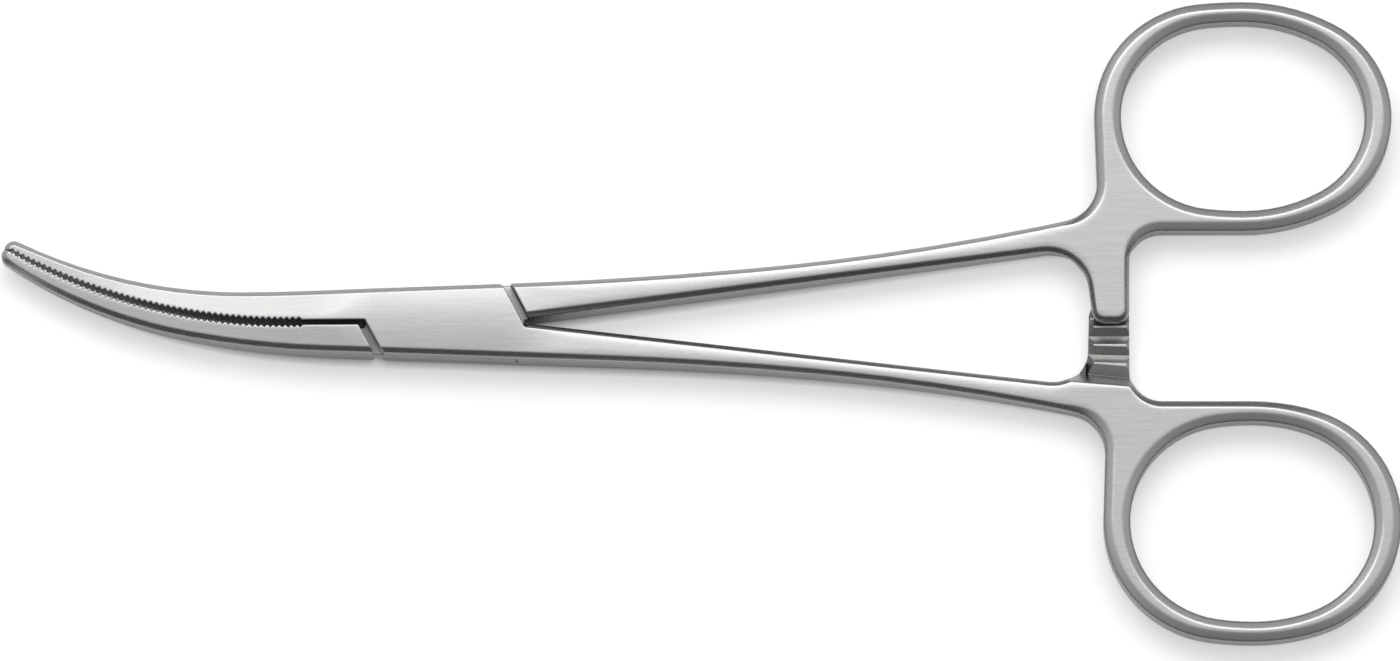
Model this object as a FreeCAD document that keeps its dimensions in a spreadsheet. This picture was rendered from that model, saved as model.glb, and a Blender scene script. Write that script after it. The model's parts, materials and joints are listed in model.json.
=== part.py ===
import FreeCAD, Part
import math
import os
import Sketcher
from FreeCAD import Placement, Rotation, Vector

# Curved hemostat forceps with a box lock. All lengths are in millimetres.
# The hinge axis is Z through the origin, the jaws point along -X and the finger rings lie at +X.
# Each arm is drawn about its own middle plane and lifted, so that the box stands on z = 0.
# "Far" is the +Y edge of the instrument, "near" is the -Y edge.

SIZES = (
    # Box lock
    ("box_thickness", 4.6, "thickness over both box plates"),
    ("box_far_half", 3.70, "hinge axis to the far edge of the box"),
    ("box_near_half", 3.37, "hinge axis to the near edge of the box"),
    ("edge_flare", 0.036, "slope of both box edges away from the middle line, towards the rings"),
    ("tongue_thickness", 1.6, "layer of the tongue arm that runs through the box"),
    ("tongue_radius", 8.0, "round ends of the tongue, about the hinge"),
    ("lock_clearance", 0.05, "free space between tongue and slot, above and below"),
    ("slot_end_clearance", 0.1, "free space between the tongue's round ends and the slot"),
    ("jaw_shoulder_x", -8.82, "near jaw's shoulder at the middle line"),
    ("jaw_shoulder_lean", 0.54, "run of the jaw shoulder along X for each unit across"),
    ("shank_shoulder_x", 8.65, "far shank's shoulder at the middle line"),
    ("shank_shoulder_lean", 0.517, "run of the shank shoulder along X for each unit across"),
    ("groove_width", 0.95, "width along X of the open groove between plate and shoulder"),
    ("plate_corner_radius", 0.45, "rounded corners of the box plates"),
    # Rivet
    ("pin_diameter", 2.5, "rivet through the box"),
    ("pin_running_clearance", 0.04, "radial play of the tongue on the rivet"),
    # Jaws
    ("jaw_tip_x", -44.15, "end of the jaws at the gap"),
    ("jaw_tip_thickness", 2.1, "thickness of the jaws at the tip"),
    ("jaw_taper_start_x", -8.5, "where the jaws start to get thinner"),
    ("jaw_bend_start_x", -15.5, "where the straight part of the bite ends and the curve begins"),
    ("far_jaw_face_y", 0.20, "straight part of the far jaw's bite"),
    ("near_jaw_face_y", -0.33, "straight part of the near jaw's bite"),
    ("far_jaw_face_radius", 57.5, "curve of the far jaw's bite"),
    ("near_jaw_face_radius", 55.0, "curve of the near jaw's bite, tighter so that the tips close first"),
    ("jaw_root_x", -12.0, "where the jaws' backs leave the straight box edges"),
    ("far_jaw_root_radius", 222.0, "easing from the straight box edge into the far jaw's back"),
    ("far_jaw_hollow_x", -20.0, "lowest place of the far jaw's back"),
    ("far_jaw_tip_width", 1.15, "width of the far jaw at its tip"),
    ("near_jaw_belly_x", -25.5, "where the near jaw's back starts to curve more"),
    ("near_jaw_belly_radius", 90.0, "curve of the near jaw's back behind that place"),
    ("near_jaw_tip_width", 1.18, "width of the near jaw at its tip"),
    ("jaw_nose_radius", 0.95, "rounding of each jaw's outer corner at the tip"),
    # Jaw serrations
    ("serration_pitch", 0.60, "distance from one serration to the next along the bite"),
    ("serration_depth", 0.28, "depth of a serration"),
    ("serration_width", 0.52, "open width of a serration at the bite"),
    ("serration_tip_margin", 0.9, "plain bite between the tip and the first serration"),
    ("serrated_root_x", -14.2, "last serration on the box's side"),
    # Shanks
    ("far_shank_bend_x", 5.0, "where the far shank's outer edge starts to curve"),
    ("far_shank_first_radius", 442.0, "first curve of the far shank's outer edge"),
    ("far_shank_change_x", 30.0, "where the second curve begins"),
    ("far_shank_second_radius", 260.0, "second curve of the far shank's outer edge"),
    ("far_shank_inner_start", -0.64, "far shank's straight inner edge, carried on to the hinge"),
    ("far_shank_inner_slope", 0.133, "slope of that edge"),
    ("near_shank_bend_x", 17.0, "where the near shank's outer edge starts to curve"),
    ("near_shank_first_radius", 360.0, "first curve of the near shank's outer edge"),
    ("near_shank_change_x", 37.0, "where the second curve begins"),
    ("near_shank_second_radius", 244.0, "second curve of the near shank's outer edge"),
    ("near_shank_inner_start", 0.75, "near shank's straight inner edge, carried on to the hinge"),
    ("near_shank_inner_slope", -0.1107, "slope of that edge"),
    ("shank_taper_start_x", 8.0, "where the shanks start to get thinner"),
    ("shank_taper_end_x", 60.0, "where the shanks reach the thickness of the rings"),
    ("taper_blend_radius", 60.0, "easing of the top face at the ends of each taper"),
    # Finger rings
    ("ring_thickness", 3.0, "thickness of rings and ratchet bars together"),
    ("ring_side_band", 2.66, "width of the ring's band at its two ends along X"),
    ("ring_far_band", 2.05, "width of the band at the places furthest across"),
    ("far_ring_x", 80.0, "centre of the far ring"),
    ("far_ring_y", 21.26, "centre of the far ring"),
    ("far_hole_half_length", 12.25, "finger hole of the far ring along X"),
    ("far_hole_half_width", 9.72, "finger hole of the far ring across"),
    ("near_ring_x", 80.66, "centre of the near ring"),
    ("near_ring_y", -20.16, "centre of the near ring"),
    ("near_hole_half_length", 12.2, "finger hole of the near ring along X"),
    ("near_hole_half_width", 10.2, "finger hole of the near ring across"),
    ("hole_heel_roundness", 0.985, "heel radius of a finger hole as a share of its half width"),
    ("far_toe_roundness", 0.91, "toe radius of the far ring's hole as a share of its half width"),
    ("near_toe_roundness", 0.96, "toe radius of the near ring's hole as a share of its half width"),
    ("ring_web_radius", 4.0, "hollow corner between ring and outer edge of the shank"),
    ("ring_web_lean", 0.35, "how far the ring's heel leans out from the shank"),
    # Ratchet
    ("bar_inner_x", 64.4, "jaw side of the ratchet bars"),
    ("bar_width", 4.1, "width of the ratchet bars"),
    ("far_bar_end_y", 0.15, "end of the far arm's bar, which lies on top"),
    ("near_bar_end_y", 2.3, "end of the near arm's bar, hidden under the other"),
    ("far_bar_shank_radius", 4.2, "hollow corner between the far bar and its shank"),
    ("near_bar_shank_radius", 3.6, "hollow corner between the near bar and its shank"),
    ("far_bar_lean", 0.5, "how far the far bar's jaw side leans, each way from its middle"),
    ("near_bar_lean", 0.1, "how far the near bar's jaw side leans, each way from its middle"),
    ("bar_ring_radius", 3.2, "hollow corner between bar and ring"),
    ("bar_end_radius", 1.3, "rounded corners at the bars' ends"),
    ("tooth_crest_gap", 0.1, "middle plane to the crests of either bar"),
    ("tooth_pitch_angle", 1.64, "degrees about the hinge from one tooth to the next"),
    ("tooth_depth", 0.60, "depth of the ratchet teeth"),
    ("tooth_steep_run", 0.80, "run of a tooth's locking flank"),
    ("tooth_sloped_run", 0.90, "run of a tooth's sliding flank"),
    ("tooth_skew", -1.6, "degrees that the teeth lean against a line through the hinge"),
    ("ramp_skew", -5.0, "degrees that the ramp leans"),
    ("ramp_run", 1.34, "run of the ramp from a bar up to the arm's full thickness"),
    ("ramp_tooth_run", 1.05, "run of the flank that faces the ramp"),
    ("near_ramp_valley_y", -5.0, "valley between the near bar's last tooth and the ramp"),
    ("far_ramp_valley_y", 6.95, "the same valley under the far bar"),
    ("near_valley_y", -2.86, "first of the valleys cut across the near bar"),
    ("near_valley_count", 3, "valleys cut across the near bar"),
    ("far_valley_y", 1.35, "first of the valleys cut under the far bar"),
    ("far_valley_count", 3, "valleys cut under the far bar"),
    ("waste_margin", 4.0, "how far the cuts that shape the arms reach past them"),
    # Edges
    ("edge_bevel", 0.50, "bevel along the arms' outer edges and the finger holes"),
    ("bar_jaw_side_bevel", 0.55, "bevel of a bar's toothed face on the jaw side"),
    ("bar_ring_side_bevel", 0.30, "bevel of a bar's toothed face on the ring side"),
)

# Two places closer than this are taken as one
TOUCHING = 0.01

# A face whose normal has at least this share along X leans, as the shoulders and plate ends do
LEAN_LIMIT = 0.3

# A direction whose share along Z is this large is upright, and one with less than FLAT lies level
UPRIGHT = 0.99
FLAT = 0.01

doc = FreeCAD.newDocument("hemostat_forceps")
sheet = doc.addObject("Spreadsheet::Sheet", "Sizes")
for row, (alias, number, note) in enumerate(SIZES, start=1):
    sheet.set(f"A{row}", alias)
    sheet.set(f"B{row}", str(number))
    sheet.setAlias(f"B{row}", alias)
    sheet.set(f"C{row}", note)
doc.recompute()


class Size:
    """A number in millimetres or degrees, with the sheet expression that drives it."""

    def __init__(self, value, text):
        self.value = value
        self.text = text

    def __add__(self, other):
        other = as_size(other)
        return Size(self.value + other.value, f"({self.text} + {other.text})")

    def __sub__(self, other):
        other = as_size(other)
        return Size(self.value - other.value, f"({self.text} - {other.text})")

    def __mul__(self, other):
        other = as_size(other)
        return Size(self.value * other.value, f"({self.text} * {other.text})")

    def __truediv__(self, other):
        other = as_size(other)
        return Size(self.value / other.value, f"({self.text} / {other.text})")

    def __neg__(self):
        return Size(-self.value, f"(0 - {self.text})")


def as_size(number):
    """Wrap a plain number, and leave a Size as it is."""
    if isinstance(number, Size):
        return number
    return Size(float(number), f"({float(number)!r})")


def root(size):
    """Square root of a Size."""
    return Size(math.sqrt(size.value), f"sqrt({size.text})")


def arcsine(size):
    """Angle in degrees whose sine is a Size."""
    return Size(math.degrees(math.asin(size.value)), f"(asin({size.text}) / 1 deg)")


def whole_steps(length, step):
    """How many whole steps fit into a length."""
    return Size(math.floor(length.value / step.value), f"floor({length.text} / {step.text})")


def cell(alias):
    """The Size that a cell of the sheet holds."""
    return Size(float(sheet.get(alias)), f"Sizes.{alias}")


def bind(target, path, size, unit=""):
    """Drive one property or constraint of an object from the sheet."""
    target.setExpression(path, f"{size.text}{unit}")


def origin_feature(body, role):
    """One of the body's own origin planes or axes."""
    return next(item for item in body.Origin.OriginFeatures if item.Role == role)


def new_sketch(body, label, role="XY_Plane", shift=None, turn_axis=None, turn=None):
    """A sketch on one of the body's origin planes, shifted and turned in its own axes."""
    sketch = body.newObject("Sketcher::SketchObject", label)
    sketch.AttachmentSupport = [(origin_feature(body, role), "")]
    sketch.MapMode = "FlatFace"
    if turn is not None:
        sketch.AttachmentOffset = Placement(Vector(0, 0, 0), Rotation(turn_axis, turn.value))
        bind(sketch, ".AttachmentOffset.Rotation.Angle", turn, " * 1 deg")
    for axis, distance in (shift or {}).items():
        bind(sketch, f".AttachmentOffset.Base.{axis}", distance)
    return sketch


class Outline:
    """A closed outline in one sketch, drawn corner by corner and driven from the sheet."""

    def __init__(self, body, label, x, y, **placing):
        self.sketch = new_sketch(body, label, **placing)
        self.first = (x, y)
        self.point = Vector(x.value, y.value, 0)
        self.heading = None
        self.segments = []

    def hold(self, kind, geometry, position, size):
        """Fix one coordinate of a point, measured from the sketch's origin."""
        index = self.sketch.addConstraint(
            Sketcher.Constraint(kind, -1, 1, geometry, position, size.value))
        bind(self.sketch, f"Constraints[{index}]", size)

    def hold_point(self, geometry, position, x=None, y=None):
        if x is not None:
            self.hold("DistanceX", geometry, position, x)
        if y is not None:
            self.hold("DistanceY", geometry, position, y)

    def hold_radius(self, geometry, radius):
        index = self.sketch.addConstraint(Sketcher.Constraint("Radius", geometry, radius.value))
        bind(self.sketch, f"Constraints[{index}]", radius)

    def join(self, geometry, start_position, smooth):
        """Tie the new segment to the one before it, or fix the outline's first point."""
        if self.segments:
            last, last_end = self.segments[-1][0], self.segments[-1][2]
            kind = "Tangent" if smooth else "Coincident"
            self.sketch.addConstraint(
                Sketcher.Constraint(kind, last, last_end, geometry, start_position))
        else:
            self.hold_point(geometry, start_position, *self.first)

    def line_to(self, x, y, hold_x=True, hold_y=True, smooth=False):
        """Draw a straight edge to a point."""
        end = Vector(x.value, y.value, 0)
        geometry = self.sketch.addGeometry(Part.LineSegment(self.point, end), False)
        self.join(geometry, 1, smooth)
        self.hold_point(geometry, 2, x if hold_x else None, y if hold_y else None)
        self.segments.append((geometry, 1, 2))
        self.heading = math.atan2(end.y - self.point.y, end.x - self.point.x)
        self.point = end

    def add_arc(self, centre, end, turn, smooth):
        """Draw a round edge about a centre, turning left (1) or right (-1)."""
        radius = (end - centre).Length
        angles = [math.atan2(p.y - centre.y, p.x - centre.x) for p in (self.point, end)]
        if turn < 0:
            angles.reverse()
        if angles[1] < angles[0]:
            angles[1] += 2 * math.pi
        circle = Part.Circle(centre, Vector(0, 0, 1), radius)
        geometry = self.sketch.addGeometry(Part.ArcOfCircle(circle, *angles), False)
        start_position, end_position = (1, 2) if turn > 0 else (2, 1)
        self.join(geometry, start_position, smooth)
        self.segments.append((geometry, start_position, end_position))
        spoke = end - centre
        self.heading = math.atan2(turn * spoke.x, -turn * spoke.y)
        self.point = end
        return geometry, end_position

    def curve_to(self, x, radius, turn):
        """Carry on smoothly along an arc of a given radius until it reaches x."""
        left = Vector(-math.sin(self.heading), math.cos(self.heading), 0)
        centre = self.point + left * (radius.value * turn)
        reach = math.sqrt(radius.value ** 2 - (x.value - centre.x) ** 2)
        side = math.copysign(1, self.point.y - centre.y)
        end = Vector(x.value, centre.y + side * reach, 0)
        geometry, end_position = self.add_arc(centre, end, turn, smooth=True)
        self.hold_radius(geometry, radius)
        self.hold_point(geometry, end_position, x)

    def sweep_to(self, x, y, turn):
        """Carry on smoothly along the one arc that ends at a given point."""
        end = Vector(x.value, y.value, 0)
        left = Vector(-math.sin(self.heading), math.cos(self.heading), 0)
        chord = end - self.point
        centre = self.point + left * (chord.Length ** 2 / (2 * chord.dot(left)))
        geometry, end_position = self.add_arc(centre, end, turn, smooth=True)
        self.hold_point(geometry, end_position, x, y)

    def round_to(self, x, y, radius, turn):
        """Draw the shorter arc of a given radius from the last point to another."""
        end = Vector(x.value, y.value, 0)
        chord = end - self.point
        rise = math.sqrt(radius.value ** 2 - (chord.Length / 2) ** 2)
        left = Vector(-chord.y, chord.x, 0).normalize()
        centre = (self.point + end) * 0.5 + left * (rise * turn)
        geometry, end_position = self.add_arc(centre, end, turn, smooth=False)
        self.hold_radius(geometry, radius)
        self.hold_point(geometry, end_position, x, y)

    def close_line(self):
        """Close the outline with a straight edge."""
        end = Vector(self.first[0].value, self.first[1].value, 0)
        geometry = self.sketch.addGeometry(Part.LineSegment(self.point, end), False)
        self.join(geometry, 1, False)
        first_geometry, first_start = self.segments[0][0], self.segments[0][1]
        self.sketch.addConstraint(
            Sketcher.Constraint("Coincident", geometry, 2, first_geometry, first_start))

    def close_with_bite(self, radius, turn):
        """Close the outline along the curved bite, which runs smoothly into the first edge."""
        end = Vector(self.first[0].value, self.first[1].value, 0)
        centre = end + Vector(0, radius.value, 0)
        geometry, end_position = self.add_arc(centre, end, turn, smooth=False)
        self.hold_radius(geometry, radius)
        first_geometry, first_start = self.segments[0][0], self.segments[0][1]
        self.sketch.addConstraint(
            Sketcher.Constraint("Tangent", geometry, end_position, first_geometry, first_start))


def far_edge(x):
    """Far edge of the box, carried on straight to any x."""
    return cell("box_far_half") + cell("edge_flare") * x


def near_edge(x):
    """Near edge of the box, carried on straight to any x."""
    return -(cell("box_near_half") + cell("edge_flare") * x)


def line_on_circle(start, slope, radius, side):
    """The x at which the line y = start + slope * x leaves a circle about the hinge."""
    steepness = slope * slope + 1
    reach = root(radius * radius * steepness - start * start)
    return (reach * side - start * slope) / steepness


def shank_inner(arm, x):
    """Straight inner edge of a shank."""
    return cell(f"{arm}_shank_inner_start") + cell(f"{arm}_shank_inner_slope") * x


def oval_side_radius(half_length, half_width, end_radius):
    """Radius of the long side of an oval whose end is an arc of end_radius."""
    run = half_length - end_radius
    return (run * run + half_width * half_width - end_radius * end_radius) / (
        (half_width - end_radius) * 2)


class Ring:
    """Sizes of one finger ring: its centre, and half its hole or its outside."""

    def __init__(self, arm, band=False):
        self.x = cell(f"{arm}_ring_x")
        self.y = cell(f"{arm}_ring_y")
        self.half_length = cell(f"{arm}_hole_half_length")
        self.half_width = cell(f"{arm}_hole_half_width")
        if band:
            self.half_length = self.half_length + cell("ring_side_band")
            self.half_width = self.half_width + cell("ring_far_band")
        self.heel = self.half_width * cell("hole_heel_roundness")
        self.toe = self.half_width * cell(f"{arm}_toe_roundness")

    def side_centre(self, end_radius, across):
        """Centre of one of the long side arcs, on the side that across points to."""
        radius = oval_side_radius(self.half_length, self.half_width, end_radius)
        return Vector(self.x.value, self.y.value + across * (self.half_width - radius).value, 0)

    def junction(self, end_radius, along, across):
        """Where a side arc meets the end arc."""
        end_centre = self.end_centre(end_radius, along)
        side_centre = self.side_centre(end_radius, across)
        direction = (end_centre - side_centre).normalize()
        return end_centre + direction * end_radius.value

    def end_centre(self, end_radius, along):
        """Centre of the heel arc (along -1) or the toe arc (along 1)."""
        return Vector(self.x.value + along * (self.half_length - end_radius).value, self.y.value, 0)


def draw_side(outline, ring, end_radius, end, turn, smooth, across, hold_end):
    """Draw one long side arc of an oval. Its centre stays level with the ring's centre."""
    centre = ring.side_centre(end_radius, across)
    geometry, end_position = outline.add_arc(centre, end, turn, smooth)
    outline.hold_point(geometry, 3, ring.x)
    if hold_end:
        outline.hold_point(geometry, end_position, ring.x, ring.y + ring.half_width * across)


def draw_toe_half(outline, ring, turn, across):
    """Draw the half of an oval that lies past its centre, from the side across to the other."""
    draw_side(outline, ring, ring.toe, ring.junction(ring.toe, 1, across), turn, False, across, False)
    toe_centre = ring.end_centre(ring.toe, 1)
    geometry, _ = outline.add_arc(toe_centre, ring.junction(ring.toe, 1, -across), turn, True)
    outline.hold_radius(geometry, ring.toe)
    outline.hold_point(geometry, 3, ring.x + ring.half_length - ring.toe, ring.y)
    last = Vector(ring.x.value, ring.y.value - across * ring.half_width.value, 0)
    draw_side(outline, ring, ring.toe, last, turn, True, -across, True)


def web_corner_x(arm):
    """Where the outer edge of a shank ends at its ring."""
    ring = Ring(arm, band=True)
    return ring.x - ring.half_length + cell("ring_web_lean")


def draw_ring_and_bar(outline, arm, across):
    """Carry an arm's outline from its shank round the finger ring and the ratchet bar."""
    turn = -across
    ring = Ring(arm, band=True)
    outline.line_to(ring.x - ring.half_length, ring.y)
    geometry, _ = outline.add_arc(
        ring.end_centre(ring.heel, -1), ring.junction(ring.heel, -1, across), turn, False)
    outline.hold_radius(geometry, ring.heel)
    outline.hold_point(geometry, 3, None, ring.y)
    crown = Vector(ring.x.value, ring.y.value + across * ring.half_width.value, 0)
    draw_side(outline, ring, ring.heel, crown, turn, True, across, True)
    draw_toe_half(outline, ring, turn, across)
    bar_outer_x = cell("bar_inner_x") + cell("bar_width")
    bar_end_y = cell(f"{arm}_bar_end_y")
    outline.line_to(bar_outer_x, ring.y - ring.half_width * across)
    lean = cell(f"{arm}_bar_lean")
    root_x = cell("bar_inner_x") - lean
    outline.line_to(bar_outer_x, bar_end_y)
    outline.line_to(cell("bar_inner_x") + lean, bar_end_y)
    outline.line_to(root_x, shank_inner(arm, root_x))


def crossing(lean_x, lean, start, slope):
    """The x where the line x = lean_x - lean * y meets the line y = start + slope * x."""
    return (lean_x - lean * start) / (lean * slope + 1)


class JawTip:
    """End of one jaw: its point on the bite and its outer corner, square to the bite."""

    def __init__(self, arm, across):
        self.x = cell("jaw_tip_x")
        self.radius = cell(f"{arm}_jaw_face_radius")
        run = cell("jaw_bend_start_x") - self.x
        rise = root(self.radius * self.radius - run * run)
        self.y = cell(f"{arm}_jaw_face_y") + self.radius - rise
        width = cell(f"{arm}_jaw_tip_width") * across
        self.corner_x = self.x + width * run / self.radius
        self.corner_y = self.y + width * rise / self.radius


def draw_jaw_tip(outline, arm, across):
    """Draw a jaw's end and close the outline along the bite."""
    tip = JawTip(arm, across)
    outline.sweep_to(tip.corner_x, tip.corner_y, -1)
    outline.line_to(tip.x, tip.y, hold_y=False)
    outline.close_with_bite(tip.radius, 1)


def plate_start():
    """Jaw end of the box plates at the middle line."""
    return cell("jaw_shoulder_x") + cell("groove_width")


def plate_corners():
    """The box plates' corners: beside the near jaw, in the shanks' crotch and at the far edge."""
    plate_end = cell("shank_shoulder_x") - cell("groove_width")
    jaw_x = crossing(plate_start(), cell("jaw_shoulder_lean"),
                     -cell("box_near_half"), -cell("edge_flare"))
    crotch_x = crossing(plate_end, cell("shank_shoulder_lean"),
                        cell("near_shank_inner_start"), cell("near_shank_inner_slope"))
    far_x = crossing(plate_end, cell("shank_shoulder_lean"),
                     cell("box_far_half"), cell("edge_flare"))
    return ((jaw_x, near_edge(jaw_x)),
            (crotch_x, shank_inner("near", crotch_x)),
            (far_x, far_edge(far_x)))


def draw_box_arm(body):
    """Plan of the box arm: far jaw, box, near shank, near bar and near ring."""
    face_y = cell("far_jaw_face_y")
    outline = Outline(body, "BoxArmPlan", cell("jaw_bend_start_x"), face_y)
    jaw_corner, crotch, far_corner = plate_corners()
    outline.line_to(plate_start() - cell("jaw_shoulder_lean") * face_y, face_y)
    outline.line_to(*jaw_corner)
    outline.line_to(cell("near_shank_bend_x"), near_edge(cell("near_shank_bend_x")))
    outline.curve_to(cell("near_shank_change_x"), cell("near_shank_first_radius"), -1)
    outline.curve_to(web_corner_x("near"), cell("near_shank_second_radius"), -1)
    draw_ring_and_bar(outline, "near", -1)
    outline.line_to(*crotch)
    outline.line_to(*far_corner)
    outline.line_to(cell("jaw_root_x"), far_edge(cell("jaw_root_x")))
    outline.curve_to(cell("far_jaw_hollow_x"), cell("far_jaw_root_radius"), -1)
    draw_jaw_tip(outline, "far", 1)
    return outline.sketch


def draw_tongue_arm(body):
    """Plan of the tongue arm: near jaw, tongue, far shank, far bar and far ring."""
    face_y = cell("near_jaw_face_y")
    radius = cell("tongue_radius")
    outline = Outline(body, "TongueArmPlan", cell("jaw_bend_start_x"), face_y)
    outline.line_to(-root(radius * radius - face_y * face_y), face_y)
    far_start = line_on_circle(cell("box_far_half"), cell("edge_flare"), radius, -1)
    outline.round_to(far_start, far_edge(far_start), radius, -1)
    outline.line_to(cell("far_shank_bend_x"), far_edge(cell("far_shank_bend_x")))
    outline.curve_to(cell("far_shank_change_x"), cell("far_shank_first_radius"), 1)
    outline.curve_to(web_corner_x("far"), cell("far_shank_second_radius"), 1)
    draw_ring_and_bar(outline, "far", 1)
    crotch_x = line_on_circle(
        cell("far_shank_inner_start"), cell("far_shank_inner_slope"), radius, 1)
    outline.line_to(crotch_x, shank_inner("far", crotch_x))
    near_start = line_on_circle(-cell("box_near_half"), -cell("edge_flare"), radius, 1)
    outline.round_to(near_start, near_edge(near_start), radius, -1)
    outline.line_to(cell("jaw_root_x"), near_edge(cell("jaw_root_x")))
    outline.curve_to(cell("near_jaw_belly_x"), cell("near_jaw_belly_radius"), -1)
    draw_jaw_tip(outline, "near", -1)
    return outline.sketch


def pad(body, sketch, label, length):
    """Raise a sketch by equal amounts on both sides of the middle plane."""
    feature = body.newObject("PartDesign::Pad", label)
    feature.Profile = sketch
    feature.SideType = "Symmetric"
    bind(feature, "Length", length)
    doc.recompute()
    return feature


def pocket(body, sketch, label, length=None, symmetric=True, reverse=False):
    """Cut a sketch out of the body, right through unless a length is given."""
    before = body.Shape.Volume
    feature = body.newObject("PartDesign::Pocket", label)
    feature.Profile = sketch
    feature.SideType = "Symmetric" if symmetric else "One side"
    feature.Reversed = reverse
    if length is None:
        feature.Type = "ThroughAll"
    else:
        bind(feature, "Length", length)
    doc.recompute()
    if not body.Shape.Volume < before:
        raise RuntimeError(f"{label} cuts nothing")
    return feature


def dress(body, kind, label, size, edges):
    """Fillet or chamfer edges of the body's present shape."""
    names = []
    for edge in edges:
        index = next(n for n, other in enumerate(body.Tip.Shape.Edges, 1) if other.isSame(edge))
        names.append(f"Edge{index}")
    base = body.Tip
    feature = body.newObject(f"PartDesign::{kind}", label)
    feature.Base = (base, names)
    bind(feature, "Radius" if kind == "Fillet" else "Size", size)
    doc.recompute()
    return feature


def upright_edge(body, x, y):
    """The vertical edge that stands nearest to a point of the plan."""
    upright = [edge for edge in body.Tip.Shape.Edges
               if len(edge.Vertexes) == 2 and abs(edge.tangentAt(edge.FirstParameter).z) > UPRIGHT]
    place = Vector(x.value, y.value, 0)
    return min(upright, key=lambda edge: (edge.CenterOfMass - place).Length)


def draw_taper_waste(body, label, side):
    """Side view of what lies past the arms' broad faces: thin jaws, full box, thinner shanks."""
    radius = cell("taper_blend_radius")
    box_top = cell("box_thickness") / 2 * side
    tip_top = cell("jaw_tip_thickness") / 2 * side
    ring_top = cell("ring_thickness") / 2 * side
    jaw_start = cell("jaw_taper_start_x")
    jaw_slope = (box_top - tip_top) / (jaw_start - cell("jaw_tip_x"))
    shank_start = cell("shank_taper_start_x")
    shank_end = cell("shank_taper_end_x")
    shank_slope = (box_top - ring_top) / (shank_end - shank_start)
    margin = cell("waste_margin")
    left = cell("jaw_tip_x") - margin
    right = cell("far_ring_x") + cell("near_hole_half_length") + cell("ring_side_band") + margin
    outline = Outline(body, label, left, tip_top - jaw_slope * margin, role="XZ_Plane")

    def reach(slope):
        """Lengths of an easing arc along the level face and, in x, along the sloping one."""
        length = root(slope * slope + 1)
        level = radius * (length - 1) / slope * side
        return level, level / length

    level, along = reach(jaw_slope)
    outline.line_to(jaw_start - along, box_top - jaw_slope * along)
    outline.round_to(jaw_start + level, box_top, radius, -side)
    level, along = reach(shank_slope)
    outline.line_to(shank_start - level, box_top)
    outline.round_to(shank_start + along, box_top - shank_slope * along, radius, -side)
    outline.line_to(shank_end - along, ring_top + shank_slope * along)
    outline.round_to(shank_end + level, ring_top, radius, side)
    outline.line_to(right, ring_top)
    outline.line_to(right, box_top + margin * side)
    outline.line_to(left, box_top + margin * side)
    outline.close_line()
    return outline.sketch


def draw_finger_hole(body, arm, across):
    """Oval of a finger hole: a round heel towards the shank and a slimmer toe."""
    ring = Ring(arm)
    outline = Outline(body, f"FingerHole{arm.title()}", ring.x, ring.y + ring.half_width * across)
    turn = -across
    draw_toe_half(outline, ring, turn, across)
    heel = ring.heel
    draw_side(outline, ring, heel, ring.junction(heel, -1, -across), turn, False, -across, False)
    heel_centre = ring.end_centre(heel, -1)
    geometry, _ = outline.add_arc(heel_centre, ring.junction(heel, -1, across), turn, True)
    outline.hold_radius(geometry, heel)
    outline.hold_point(geometry, 3, ring.x - ring.half_length + heel, ring.y)
    crown = Vector(outline.first[0].value, outline.first[1].value, 0)
    draw_side(outline, ring, heel, crown, turn, True, across, True)
    return outline.sketch


def new_body(label):
    """An empty body whose middle plane is lifted to half the box's thickness."""
    body = doc.addObject("PartDesign::Body", label)
    body.Label = label
    bind(body, ".Placement.Base.z", cell("box_thickness") / 2)
    return body


def shape_arm(body, arm, across, jaw, plan):
    """Turn an arm's plan into its blank: rounded corners, tapered faces and finger hole."""
    pad(body, plan, "Blank", cell("box_thickness"))
    tip = JawTip(jaw, -across)
    ring = Ring(arm, band=True)
    bar_inner = cell("bar_inner_x")
    bar_outer = bar_inner + cell("bar_width")
    bar_end = cell(f"{arm}_bar_end_y")
    bar_root = bar_inner - cell(f"{arm}_bar_lean")
    web_x = web_corner_x(arm)
    web_y = (ring.y + shank_inner(arm, web_x)) / 2
    corners = (
        ("JawNose", "jaw_nose_radius", tip.corner_x, tip.corner_y),
        ("WebCorner", "ring_web_radius", web_x, web_y),
        ("BarRingCorner", "bar_ring_radius", bar_outer, ring.y - ring.half_width * across),
        ("BarShankCorner", f"{arm}_bar_shank_radius", bar_root, shank_inner(arm, bar_root)),
        ("BarInnerEnd", "bar_end_radius", bar_inner, bar_end),
        ("BarOuterEnd", "bar_end_radius", bar_outer, bar_end),
    )
    for label, radius, x, y in corners:
        edge = upright_edge(body, x, y)
        dress(body, "Fillet", label, cell(radius), [edge])
    pocket(body, draw_taper_waste(body, "TopWaste", 1), "TaperedTop")
    pocket(body, draw_taper_waste(body, "UndersideWaste", -1), "TaperedUnderside")
    pocket(body, draw_finger_hole(body, arm, across), "FingerHoleCut")


def draw_circle(body, label, radius):
    """A circle about the hinge axis."""
    sketch = new_sketch(body, label)
    circle = sketch.addGeometry(Part.Circle(Vector(0, 0, 0), Vector(0, 0, 1), radius.value), False)
    sketch.addConstraint(Sketcher.Constraint("Coincident", circle, 3, -1, 1))
    index = sketch.addConstraint(Sketcher.Constraint("Radius", circle, radius.value))
    bind(sketch, f"Constraints[{index}]", radius)
    return sketch


def draw_polygon(body, label, points, **placing):
    """A closed outline of straight edges."""
    outline = Outline(body, label, *points[0], **placing)
    for x, y in points[1:]:
        outline.line_to(x, y)
    outline.close_line()
    return outline.sketch


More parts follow.
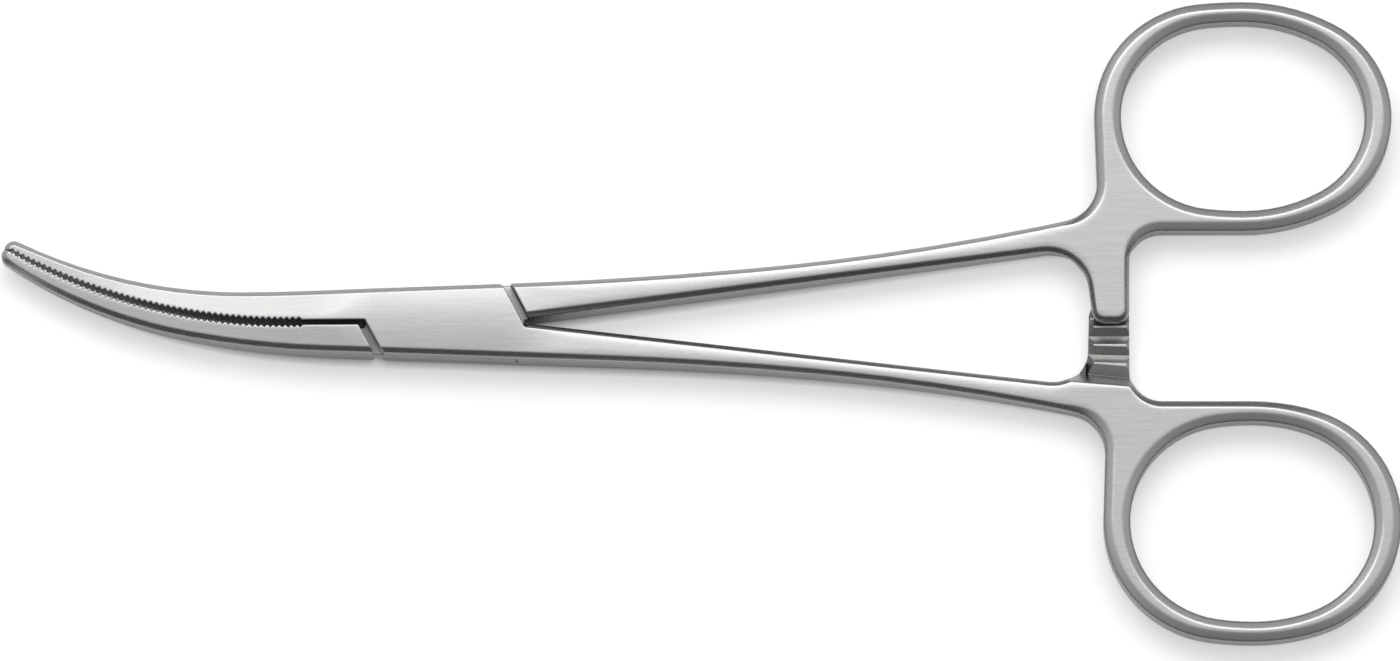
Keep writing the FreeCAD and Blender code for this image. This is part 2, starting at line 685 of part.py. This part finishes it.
def radial_pattern(body, feature, label, axis, spacing, count):
    """Repeat a cut about an axis."""
    before = body.Shape.Volume
    pattern = body.newObject("PartDesign::PolarPattern", label)
    pattern.Originals = [feature]
    pattern.Axis = axis
    pattern.Mode = "Spacing"
    bind(pattern, "Offset", spacing, " * 1 deg")
    bind(pattern, "Occurrences", count)
    body.Tip = pattern
    doc.recompute()
    if not body.Shape.Volume < before:
        raise RuntimeError(f"{label} cuts nothing")
    return pattern


def is_wall(face):
    """Whether a face stands upright."""
    u_first, u_last, v_first, v_last = face.ParameterRange
    return abs(face.normalAt((u_first + u_last) / 2, (v_first + v_last) / 2).z) < FLAT


def stays_sharp(wall, arm_jaw):
    """Whether an upright face keeps crisp edges: the bites, the plates' ends, the tongue."""
    surface = wall.Surface
    middle = wall.CenterOfMass
    if isinstance(surface, Part.Cylinder):
        crisp = (cell(f"{arm_jaw}_jaw_face_radius").value, cell("tongue_radius").value)
        return any(abs(surface.Radius - radius) < TOUCHING for radius in crisp)
    near_box = abs(middle.x) < cell("tongue_radius").value + cell("groove_width").value
    leans = isinstance(surface, Part.Plane) and abs(surface.Axis.x) > LEAN_LIMIT
    on_bite = abs(middle.y - cell(f"{arm_jaw}_jaw_face_y").value) < TOUCHING
    return (near_box and leans) or (on_bite and middle.x < 0)


def bevelled_edges(body, arm_jaw):
    """The long edges between the upright faces and the top and bottom of an arm."""
    shape = body.Tip.Shape
    tongue_top = cell("tongue_thickness").value / 2
    chosen = []
    for edge in shape.Edges:
        faces = shape.ancestorsOfType(edge, Part.Face)
        walls = [face for face in faces if is_wall(face)]
        if len(faces) == 2 and len(walls) == 1 and not stays_sharp(walls[0], arm_jaw):
            if abs(edge.CenterOfMass.z) > tongue_top + TOUCHING:
                chosen.append(edge)
    return chosen


def cut_plate_seats(body):
    """Leave only the tongue between the shoulders, so that the box plates fit over it."""
    reach = cell("box_far_half") + cell("waste_margin")
    jaw_lean = cell("jaw_shoulder_lean")
    shank_lean = cell("shank_shoulder_lean")
    jaw_x = cell("jaw_shoulder_x")
    shank_x = cell("shank_shoulder_x")
    points = (
        (jaw_x + jaw_lean * reach, -reach),
        (shank_x + shank_lean * reach, -reach),
        (shank_x - shank_lean * reach, reach),
        (jaw_x - jaw_lean * reach, reach),
    )
    half = cell("tongue_thickness") / 2
    top = draw_polygon(body, "TopSeatPlan", points, shift={"z": half})
    pocket(body, top, "PlateSeatTop", symmetric=False, reverse=True)
    underside = draw_polygon(body, "UndersideSeatPlan", points, shift={"z": -half})
    pocket(body, underside, "PlateSeatUnderside", symmetric=False)


def bar_middle_x():
    """Middle of the ratchet bars along X."""
    return cell("bar_inner_x") + cell("bar_width") / 2


def cut_bar_step(body, arm, across):
    """Leave the bar half as thick as its arm, with a ramp up to the full thickness."""
    crest = cell("tooth_crest_gap") * across
    valley = (cell("tooth_crest_gap") + cell("tooth_depth")) * across
    beyond = -(cell("ring_thickness") / 2 + cell("waste_margin")) * across
    ramp_top = -cell("ring_thickness") / 2 * across
    ramp_slope = cell("ramp_run") * across / (ramp_top - valley)
    valley_y = cell(f"{arm}_ramp_valley_y")
    end_y = cell(f"{arm}_bar_end_y") - cell("waste_margin") * across
    points = (
        (valley_y, valley),
        (valley_y - cell("ramp_tooth_run") * across, crest),
        (end_y, crest),
        (end_y, beyond),
        (valley_y + ramp_slope * (beyond - valley), beyond),
    )
    sketch = draw_polygon(
        body, "BarStepProfile", points, role="YZ_Plane", shift={"z": bar_middle_x()},
        turn_axis=Vector(0, 1, 0), turn=-cell("ramp_skew") * across)
    length = cell("bar_width") + cell("waste_margin") * 2
    pocket(body, sketch, "BarStep", length)


def cut_bar_bevel(body, arm, across, side, bevel):
    """Bevel the toothed face of a bar along one long edge, on its jaw side (-1) or ring side (1)."""
    edge_x = bar_middle_x() + cell("bar_width") / 2 * side
    crest = cell("tooth_crest_gap") * across
    past = bevel / 2
    points = (
        (edge_x - bevel * side, crest),
        (edge_x + past * side, crest),
        (edge_x + past * side, crest + (bevel + past) * across),
    )
    valley_y = cell(f"{arm}_ramp_valley_y")
    sketch = draw_polygon(body, "BarBevelProfile", points, role="XZ_Plane", shift={"z": -valley_y})
    length = (valley_y - cell(f"{arm}_bar_end_y")) * across + cell("waste_margin")
    pocket(body, sketch, "BarBevel", length, symmetric=False, reverse=across > 0)


def cut_teeth(body, arm, across):
    """Cut the row of ratchet teeth, whose crests run towards the hinge."""
    gap = cell("tooth_crest_gap")
    first_y = cell(f"{arm}_valley_y")
    steep_side = first_y - cell("tooth_steep_run") * across
    sloped_side = first_y + cell("tooth_sloped_run") * across
    open_side = -(gap + cell("tooth_depth")) * across
    points = (
        (first_y, (gap + cell("tooth_depth")) * across),
        (steep_side, gap * across),
        (steep_side, open_side),
        (sloped_side, open_side),
        (sloped_side, gap * across),
    )
    sketch = draw_polygon(
        body, "ToothProfile", points, role="YZ_Plane", shift={"z": bar_middle_x()},
        turn_axis=Vector(0, 1, 0), turn=cell("tooth_skew"))
    tooth = pocket(body, sketch, "ToothValley", cell("bar_width") + cell("waste_margin") / 2)
    axis = (origin_feature(body, "Z_Axis"), [""])
    radial_pattern(body, tooth, "ToothRow", axis, cell("tooth_pitch_angle"), cell(f"{arm}_valley_count"))


def cut_serrations(body, jaw, across):
    """Cut the fine cross serrations along a jaw's bite, which interlock with the other jaw's."""
    radius = cell(f"{jaw}_jaw_face_radius")
    face_y = cell(f"{jaw}_jaw_face_y")
    bend_x = cell("jaw_bend_start_x")
    per_degree = radius * math.pi / 180
    margin = cell("serration_tip_margin")
    if across < 0:
        margin = margin + cell("serration_pitch") / 2
    first = arcsine((bend_x - cell("jaw_tip_x")) / radius) - margin / per_degree
    last = arcsine((bend_x - cell("serrated_root_x")) / radius)
    spacing = cell("serration_pitch") / per_degree
    apex = -radius + cell("serration_depth") * across
    base = -radius - cell("serration_width") / 4 * across
    half_width = cell("serration_width") * 3 / 4
    points = ((as_size(0), apex), (half_width, base), (-half_width, base))
    sketch = draw_polygon(
        body, "SerrationProfile", points, shift={"x": bend_x, "y": face_y + radius},
        turn_axis=Vector(0, 0, 1), turn=-first)
    serration = pocket(body, sketch, "Serration")
    count = whole_steps(first - last, spacing) + 1
    radial_pattern(body, serration, "SerrationRow", (sketch, ["N_Axis"]), spacing, count)


def finish_arm(body, arm, across, jaw):
    """Cut an arm's pin hole, ratchet and serrations."""
    play = cell("pin_running_clearance") if jaw == "near" else as_size(0)
    pocket(body, draw_circle(body, "PinHole", cell("pin_diameter") / 2 + play), "PinHoleCut")
    cut_bar_step(body, arm, across)
    cut_bar_bevel(body, arm, across, -1, cell("bar_jaw_side_bevel"))
    cut_bar_bevel(body, arm, across, 1, cell("bar_ring_side_bevel"))
    cut_teeth(body, arm, across)
    cut_serrations(body, jaw, -across)


box_arm = new_body("box_arm")
shape_arm(box_arm, "near", -1, "far", draw_box_arm(box_arm))
slot_plan = draw_circle(box_arm, "SlotPlan", cell("tongue_radius") + cell("slot_end_clearance"))
dress(box_arm, "Chamfer", "EdgeBevel", cell("edge_bevel"), bevelled_edges(box_arm, "far"))
corner_edges = [upright_edge(box_arm, x, y) for x, y in plate_corners()]
dress(box_arm, "Fillet", "PlateCorners", cell("plate_corner_radius"), corner_edges)
finish_arm(box_arm, "near", -1, "far")
pocket(box_arm, slot_plan, "TongueSlot", cell("tongue_thickness") + cell("lock_clearance") * 2)
tongue_arm = new_body("tongue_arm")
shape_arm(tongue_arm, "far", 1, "near", draw_tongue_arm(tongue_arm))
cut_plate_seats(tongue_arm)
dress(tongue_arm, "Chamfer", "EdgeBevel", cell("edge_bevel"), bevelled_edges(tongue_arm, "near"))
finish_arm(tongue_arm, "far", 1, "near")
box_lock_pin = new_body("box_lock_pin")
pin_plan = draw_circle(box_lock_pin, "PinPlan", cell("pin_diameter") / 2)
pad(box_lock_pin, pin_plan, "Pin", cell("box_thickness"))
doc.recompute()

for item in doc.Objects:
    if "Invalid" in item.State or "Error" in item.State:
        raise RuntimeError(f"{item.Name} is not valid")
os.makedirs("parts", exist_ok=True)
for body in (box_arm, tongue_arm, box_lock_pin):
    if body.Shape.isNull() or not body.Shape.isValid() or len(body.Shape.Solids) != 1:
        raise RuntimeError(f"{body.Label} has no sound solid")
    body.Shape.exportStep(f"parts/{body.Label}.step")
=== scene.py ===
import json
import math

import bpy
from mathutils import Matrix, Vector


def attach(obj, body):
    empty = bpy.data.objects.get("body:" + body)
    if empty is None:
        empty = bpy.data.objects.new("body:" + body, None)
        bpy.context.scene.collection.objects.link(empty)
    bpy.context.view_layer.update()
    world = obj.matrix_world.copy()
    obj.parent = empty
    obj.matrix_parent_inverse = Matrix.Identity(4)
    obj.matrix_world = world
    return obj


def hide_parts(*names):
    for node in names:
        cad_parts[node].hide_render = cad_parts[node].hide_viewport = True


# Curved artery forceps in satin steel, lying flat on a white sheet under a long soft light.
# Lengths are in metres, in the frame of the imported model. Places along the forceps are X in that frame.

MM = 0.001

# Camera: a long lens, tilted a little towards the near edge of the forceps
VIEW_TILT = math.radians(12)
VIEW_WIDTH = 140.14 * MM
LENS = 400.0
SENSOR = 36.0
AIM = Vector((25.53, -0.48, 2.3)) * MM

# Key light
KEY_POWER = 4.6
KEY_LENGTH = 1.2
KEY_WIDTH = 0.62
KEY_PLACE = Vector((-0.05, 0.63, 0.96))

# World: its strength above, at the horizon and on the near side, and the directions where it changes
WORLD_ABOVE = 0.92
WORLD_HORIZON = 0.07
WORLD_NEAR = 0.27
WORLD_HEIGHTS = (0.12, 0.70)
WORLD_SIDES = (-0.8, 0.2)

# Floor: the glow that makes it white to the camera, and how much of that the steel reflects
FLOOR_HALF = 3.0
FLOOR_COLOUR = (0.82, 0.815, 0.81, 1)
FLOOR_LIFT = 0.41
FLOOR_LIFT_IN_STEEL = 0.3
# Painted shade: the floor's glow fades in crevices narrower than FLOOR_CREVICE
FLOOR_CREVICE = 1 * MM
FLOOR_CREVICE_POWER = 2.0

# Steel: colour, and the painted shade that darkens it in a crevice
STEEL_COLOUR = (0.475, 0.47, 0.462)
CREVICE = 1.5 * MM
PAINTED_CREVICE_SHADE = 0.25
OCCLUSION_SAMPLES = 8

# Brushing: fine scratches along the forceps, and broad patches
BRUSHING_STRETCH = (30, 1400, 1400)
BRUSHING_SCALE = 8.0
BRUSHING_DETAIL = 4.0
PATCH_SCALE = 120.0
PATCH_DETAIL = 2.0
ROUGHNESS = 0.22
ROUGHNESS_BY_BRUSHING = 0.07
ROUGHNESS_BY_PATCHES = 0.03
BRUSHING_LIMITS = (0.3, 0.7)
BRUSHING_TONES = (0.93, 1.04)
BUMP_STRENGTH = 0.05
BUMP_HEIGHT = 0.02 * MM

# Rounded edges: crisp everywhere and sharper on the ratchet bars, with a share of a wide rounding
# mixed in on shanks and rings. Within PIN_REACH of the hinge axis the normal stays plain.
EDGE_ROUNDING = 0.26 * MM
TOOTH_ROUNDING = 0.06 * MM
EDGE_SAMPLES = 8
WIDE_SAMPLES = 16
SHANK_ROUNDING = 1.4 * MM
SHANK_SHARE = 0.28
SHANK_START = 8 * MM
RING_ROUNDING = 0.6 * MM
RING_SHARE = 0.4
RING_START = 62 * MM
CHANGE_LENGTH = 6 * MM
BAR_START = 63.5 * MM
BAR_END = 69.5 * MM
TEETH_START = -5.9 * MM
TEETH_END = 0.3 * MM
PIN_REACH = 1.6 * MM

# Crowning: how far the flat faces lean at their edges, and where that changes along the forceps.
# The middle of the jaws is at Y = JAW_CURVE times the square of the way past JAW_CURVE_START.
BOX_LEAN = 0.07
UPPER_JAW_LEAN = 0.047
LOWER_JAW_LEAN = 0.07
SHANK_LEAN = 0.03
BOX_HALF_WIDTH = 3.5 * MM
JAW_HALF_WIDTH = 0.8 * MM
JAW_CURVE_START = -17 * MM
JAW_CURVE = 10.2
WIDTH_CHANGE = (-12 * MM, -7 * MM)
LEAN_CHANGE = (-14 * MM, -7 * MM)
TIP_CHANGE = (-40 * MM, -28 * MM)
SHANK_CHANGE = (5 * MM, 12 * MM)
SHANK_LEAN_FADE = (55 * MM, 64 * MM)
FLAT_FACE = 0.95

# Finger rings: their bevels are wider and a little lower than those of the solids
RING_FACES = (0.8 * MM, 3.8 * MM)
BEVEL = 0.5 * MM
RING_BEVEL_WIDER = 0.35 * MM
RING_BEVEL_LOWER = 0.07 * MM
WIDER_FROM_X = 61.2 * MM
WIDER_FULL_X = 65.5 * MM
WIDER_FROM_Y = 6.5 * MM
WIDER_FULL_Y = 10 * MM
LEVEL = 0.02 * MM
BEVEL_SLOPE = 0.3

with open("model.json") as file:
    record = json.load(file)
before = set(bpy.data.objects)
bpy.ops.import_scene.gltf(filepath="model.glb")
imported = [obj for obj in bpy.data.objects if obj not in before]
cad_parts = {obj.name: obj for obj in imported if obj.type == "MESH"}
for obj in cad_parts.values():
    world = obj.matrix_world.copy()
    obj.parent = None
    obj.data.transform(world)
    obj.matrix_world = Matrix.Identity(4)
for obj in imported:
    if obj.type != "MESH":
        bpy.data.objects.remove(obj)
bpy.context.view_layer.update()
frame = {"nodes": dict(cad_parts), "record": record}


class Nodes:
    """Adds nodes to one node tree and joins them."""

    def __init__(self, tree):
        self.tree = tree
        tree.nodes.clear()

    def add(self, kind, **settings):
        """A node, with properties set by name and inputs given as in_NAME or in_NUMBER."""
        node = self.tree.nodes.new(f"ShaderNode{kind}")
        for name, value in settings.items():
            if not name.startswith("in_"):
                setattr(node, name, value)
                continue
            key = name.removeprefix("in_")
            socket = node.inputs[int(key)] if key.isdigit() else node.inputs[key.replace("_", " ")]
            if isinstance(value, bpy.types.NodeSocket):
                self.tree.links.new(value, socket)
            else:
                socket.default_value = value
        return node

    def math(self, operation, first, second=0.0):
        return self.add("Math", operation=operation, in_0=first, in_1=second).outputs[0]

    def ramp(self, value, limits, low=0.0, high=1.0, kind="SMOOTHSTEP"):
        """A step from low to high between two limits of a value."""
        start, end = limits
        return self.add("MapRange", interpolation_type=kind, in_0=value, in_1=start, in_2=end,
                        in_3=low, in_4=high).outputs[0]

    def axes(self, vector):
        return self.add("SeparateXYZ", in_0=vector).outputs

    def exposed(self, distance):
        """Nought deep in a crevice and one on an open face."""
        return self.add("AmbientOcclusion", samples=OCCLUSION_SAMPLES, in_Distance=distance).outputs["AO"]

    def join(self, output, socket):
        self.tree.links.new(output, socket)


def aim_at(item, target):
    """Turn a camera or lamp so that it looks at a point."""
    item.rotation_euler = (target - item.location).to_track_quat("-Z", "Y").to_euler()


def add_camera():
    """The camera, as far back as its lens needs for the width of the view."""
    data = bpy.data.cameras.new("camera")
    data.lens = LENS
    data.sensor_width = SENSOR
    camera = bpy.data.objects.new("camera", data)
    bpy.context.collection.objects.link(camera)
    distance = VIEW_WIDTH * LENS / SENSOR
    camera.location = AIM + distance * Vector((0, -math.sin(VIEW_TILT), math.cos(VIEW_TILT)))
    aim_at(camera, AIM)
    bpy.context.scene.camera = camera


def add_key_light():
    """A long soft box above and beyond the forceps."""
    data = bpy.data.lights.new("key", "AREA")
    data.shape = "RECTANGLE"
    data.size = KEY_LENGTH
    data.size_y = KEY_WIDTH
    data.energy = KEY_POWER
    lamp = bpy.data.objects.new("key", data)
    bpy.context.collection.objects.link(lamp)
    lamp.location = KEY_PLACE
    aim_at(lamp, AIM)


def paint_world():
    """A room that is bright above, and dim at the horizon and on the near side."""
    world = bpy.data.worlds.new("room")
    world.use_nodes = True
    bpy.context.scene.world = world
    nodes = Nodes(world.node_tree)
    direction = nodes.axes(nodes.add("TexCoord").outputs["Generated"])
    height = nodes.ramp(direction["Z"], WORLD_HEIGHTS, WORLD_HORIZON, WORLD_ABOVE, "LINEAR")
    side = nodes.ramp(direction["Y"], WORLD_SIDES, WORLD_NEAR, 1.0, "LINEAR")
    strength = nodes.math("MULTIPLY", height, side)
    background = nodes.add("Background", in_Color=(1, 1, 1, 1), in_Strength=strength)
    output = nodes.add("OutputWorld")
    nodes.join(background.outputs[0], output.inputs["Surface"])


def floor_material():
    """White paper that takes the shadow and looks white to the camera, with painted shade in a crevice."""
    material = bpy.data.materials.new("white_paper")
    material.use_nodes = True
    nodes = Nodes(material.node_tree)
    paper = nodes.add("BsdfDiffuse", in_Color=FLOOR_COLOUR)
    light = nodes.add("LightPath").outputs
    in_steel = nodes.math("MULTIPLY", light["Is Glossy Ray"], FLOOR_LIFT_IN_STEEL)
    viewed = nodes.math("MAXIMUM", light["Is Camera Ray"], in_steel)
    # Painted shade: the glow is taken away in a crevice, so gaps between the parts go dark
    exposed = nodes.exposed(FLOOR_CREVICE)
    seen = nodes.math("MULTIPLY", viewed, nodes.math("POWER", exposed, FLOOR_CREVICE_POWER))
    strength = nodes.math("MULTIPLY", seen, FLOOR_LIFT)
    glow = nodes.add("Emission", in_Color=(1, 1, 1, 1), in_Strength=strength)
    total = nodes.add("AddShader", in_0=paper.outputs[0], in_1=glow.outputs[0])
    output = nodes.add("OutputMaterial")
    nodes.join(total.outputs[0], output.inputs["Surface"])
    return material


def add_floor():
    """A plain floor under the forceps."""
    mesh = bpy.data.meshes.new("floor")
    corners = [(x * FLOOR_HALF, y * FLOOR_HALF, 0) for x, y in ((-1, -1), (1, -1), (1, 1), (-1, 1))]
    mesh.from_pydata(corners, [], [(0, 1, 2, 3)])
    mesh.materials.append(floor_material())
    floor = bpy.data.objects.new("floor", mesh)
    bpy.context.collection.objects.link(floor)


def face_lean(nodes, axes):
    """How far the flat faces lean across the arms, because box, jaws and shanks are slightly crowned."""
    bend = nodes.math("MAXIMUM", nodes.math("SUBTRACT", JAW_CURVE_START, axes["X"]), 0.0)
    middle = nodes.math("MULTIPLY", nodes.math("MULTIPLY", bend, bend), JAW_CURVE)
    half_width = nodes.ramp(axes["X"], WIDTH_CHANGE, JAW_HALF_WIDTH, BOX_HALF_WIDTH)
    across = nodes.math("DIVIDE", nodes.math("SUBTRACT", axes["Y"], middle), half_width)
    across = nodes.math("MINIMUM", nodes.math("MAXIMUM", across, -1.0), 1.0)
    far_lean = nodes.math("MULTIPLY", nodes.ramp(axes["X"], LEAN_CHANGE, UPPER_JAW_LEAN, BOX_LEAN),
                          nodes.ramp(axes["X"], TIP_CHANGE))
    far = nodes.math("MULTIPLY", nodes.math("MAXIMUM", across, 0.0), far_lean)
    near = nodes.math("MULTIPLY", nodes.math("MINIMUM", across, 0.0), LOWER_JAW_LEAN)
    on_jaws_and_box = nodes.math("MULTIPLY", nodes.math("ADD", far, near),
                                 nodes.ramp(axes["X"], SHANK_CHANGE, 1.0, 0.0))
    on_shanks = nodes.math("MULTIPLY", nodes.ramp(axes["X"], SHANK_CHANGE),
                           nodes.ramp(axes["X"], SHANK_LEAN_FADE, SHANK_LEAN, 0.0))
    return nodes.math("ADD", on_jaws_and_box, on_shanks)


def on_the_bars(nodes, axes):
    """One on the toothed part of the ratchet bars, whose edges are sharper, and nought elsewhere."""
    along = nodes.math("MULTIPLY", nodes.math("GREATER_THAN", axes["X"], BAR_START),
                       nodes.math("LESS_THAN", axes["X"], BAR_END))
    across = nodes.math("MULTIPLY", nodes.math("GREATER_THAN", axes["Y"], TEETH_START),
                        nodes.math("LESS_THAN", axes["Y"], TEETH_END))
    return nodes.math("MULTIPLY", along, across)


def rounded_normal(nodes, axes):
    """The normal with rounded edges: crisp ones, mixed with a wide rounding on shanks and rings."""
    on_bars = on_the_bars(nodes, axes)
    to_shanks = (SHANK_START, SHANK_START + CHANGE_LENGTH)
    to_rings = (RING_START, RING_START + CHANGE_LENGTH)
    edge = nodes.ramp(on_bars, (0.0, 1.0), EDGE_ROUNDING, TOOTH_ROUNDING, "LINEAR")
    crisp = nodes.add("Bevel", samples=EDGE_SAMPLES, in_Radius=edge).outputs[0]
    reach = nodes.ramp(axes["X"], to_rings, SHANK_ROUNDING, RING_ROUNDING)
    wide = nodes.add("Bevel", samples=WIDE_SAMPLES, in_Radius=reach).outputs[0]
    share = nodes.math("ADD", nodes.ramp(axes["X"], to_shanks, 0.0, SHANK_SHARE),
                       nodes.ramp(axes["X"], to_rings, 0.0, RING_SHARE - SHANK_SHARE))
    share = nodes.math("MULTIPLY", share, nodes.math("SUBTRACT", 1.0, on_bars))
    return nodes.add("Mix", data_type="VECTOR", in_0=share, in_4=crisp, in_5=wide).outputs[1]


def steel_normal(nodes, place):
    """Rounded edges and crowned faces, but the plain normal over the pin, which is polished flush."""
    axes = nodes.axes(place)
    plain = nodes.add("NewGeometry").outputs["Normal"]
    flat = nodes.add("VectorMath", operation="MULTIPLY", in_0=place, in_1=(1, 1, 0)).outputs[0]
    distance = nodes.add("VectorMath", operation="LENGTH", in_0=flat).outputs["Value"]
    past_pin = nodes.math("GREATER_THAN", distance, PIN_REACH)
    normal = nodes.add("Mix", data_type="VECTOR", in_0=past_pin, in_4=plain,
                       in_5=rounded_normal(nodes, axes)).outputs[1]
    on_flat_face = nodes.math("GREATER_THAN", nodes.math("ABSOLUTE", nodes.axes(plain)["Z"]), FLAT_FACE)
    lean = nodes.math("MULTIPLY", face_lean(nodes, axes), on_flat_face)
    leaned = nodes.add("VectorMath", operation="ADD", in_0=normal,
                       in_1=nodes.add("CombineXYZ", in_Y=lean).outputs[0]).outputs[0]
    return nodes.add("VectorMath", operation="NORMALIZE", in_0=leaned).outputs[0]


def steel_material():
    """Satin steel: fine brushing along the forceps, rounded edges and faintly crowned faces."""
    material = bpy.data.materials.new("satin_steel")
    material.use_nodes = True
    nodes = Nodes(material.node_tree)
    place = nodes.add("TexCoord").outputs["Object"]
    stretched = nodes.add("Mapping", in_Vector=place, in_Scale=BRUSHING_STRETCH).outputs[0]
    brushing = nodes.add("TexNoise", in_Vector=stretched, in_Scale=BRUSHING_SCALE,
                         in_Detail=BRUSHING_DETAIL).outputs[0]
    patches = nodes.add("TexNoise", in_Vector=place, in_Scale=PATCH_SCALE, in_Detail=PATCH_DETAIL).outputs[0]
    uneven = nodes.math("ADD", nodes.math("MULTIPLY", brushing, ROUGHNESS_BY_BRUSHING),
                        nodes.math("MULTIPLY", patches, ROUGHNESS_BY_PATCHES))
    roughness = nodes.math("ADD", uneven, ROUGHNESS)
    # Grain from the brushing, times painted shade: the colour is darkened in crevices by occlusion
    grain_and_shade = nodes.math("MULTIPLY", nodes.ramp(brushing, BRUSHING_LIMITS, *BRUSHING_TONES, "LINEAR"),
                      nodes.ramp(nodes.exposed(CREVICE), (0.0, 1.0), PAINTED_CREVICE_SHADE, 1.0))
    colour = nodes.add("VectorMath", operation="SCALE", in_0=STEEL_COLOUR, in_Scale=grain_and_shade).outputs[0]
    bump = nodes.add("Bump", in_Strength=BUMP_STRENGTH, in_Distance=BUMP_HEIGHT, in_Height=brushing,
                     in_Normal=steel_normal(nodes, place))
    shader = nodes.add("BsdfPrincipled", in_Metallic=1.0, in_Roughness=roughness,
                       in_Base_Color=colour, in_Normal=bump.outputs[0])
    output = nodes.add("OutputMaterial")
    nodes.join(shader.outputs[0], output.inputs["Surface"])
    return material


def smooth_step(value, start, end):
    """Nought before start, one after end, and smooth between them."""
    share = min(max((value - start) / (end - start), 0.0), 1.0)
    return share * share * (3 - 2 * share)


def ring_share(place):
    """How much of the wider bevel a place has: none of it on shanks and bars, all of it on the rings."""
    return (smooth_step(place.x, WIDER_FROM_X, WIDER_FULL_X)
            * smooth_step(abs(place.y), WIDER_FROM_Y, WIDER_FULL_Y))


def on_ring_face(place):
    """Whether a point lies in the top or the bottom plane of the rings."""
    return any(abs(place.z - face) < LEVEL for face in RING_FACES)


def place_key(place):
    """The same key for the points that several faces have at one place."""
    return tuple(round(value / LEVEL) for value in place)


def widen_ring_bevels(mesh):
    """Move the two edges of the rings' bevels, and turn the bevels' normals to fit."""
    normals = [corner.vector.copy() for corner in mesh.corner_normals]
    moves = {}
    for polygon in mesh.polygons:
        on_face = [on_ring_face(mesh.vertices[index].co) for index in polygon.vertices]
        if all(on_face) or not any(on_face):
            continue
        for loop_index in polygon.loop_indices:
            place = mesh.vertices[mesh.loops[loop_index].vertex_index].co
            outward = Vector((normals[loop_index].x, normals[loop_index].y, 0))
            slope = normals[loop_index].z
            share = ring_share(place)
            if share == 0 or outward.length < BEVEL_SLOPE or abs(slope) < BEVEL_SLOPE:
                continue
            outward.normalize()
            width = BEVEL + RING_BEVEL_WIDER * share
            depth = BEVEL - RING_BEVEL_LOWER * share
            if on_ring_face(place):
                moves[place_key(place)] = outward * (BEVEL - width)
            else:
                moves[place_key(place)] = Vector((0, 0, math.copysign(BEVEL - depth, slope)))
            upward = Vector((0, 0, math.copysign(width, slope)))
            normals[loop_index] = (outward * depth + upward).normalized()
    for vertex in mesh.vertices:
        vertex.co += moves.get(place_key(vertex.co), Vector())
    mesh.normals_split_custom_set(normals)


def dress_steel():
    """Give every piece the same satin steel, and show each arm by a copy with wider ring bevels."""
    steel = steel_material()
    for body, names in frame["record"]["behaviour"]["bodies"].items():
        for name in names:
            node = frame["nodes"][name]
            node.data.materials.clear()
            node.data.materials.append(steel)
            if name.endswith("_arm"):
                arm = bpy.data.objects.new(f"{name}_polished", node.data.copy())
                bpy.context.collection.objects.link(arm)
                widen_ring_bevels(arm.data)
                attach(arm, body)
                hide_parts(name)


bpy.context.scene.view_settings.view_transform = "Standard"
add_camera()
add_key_light()
paint_world()
add_floor()
dress_steel()
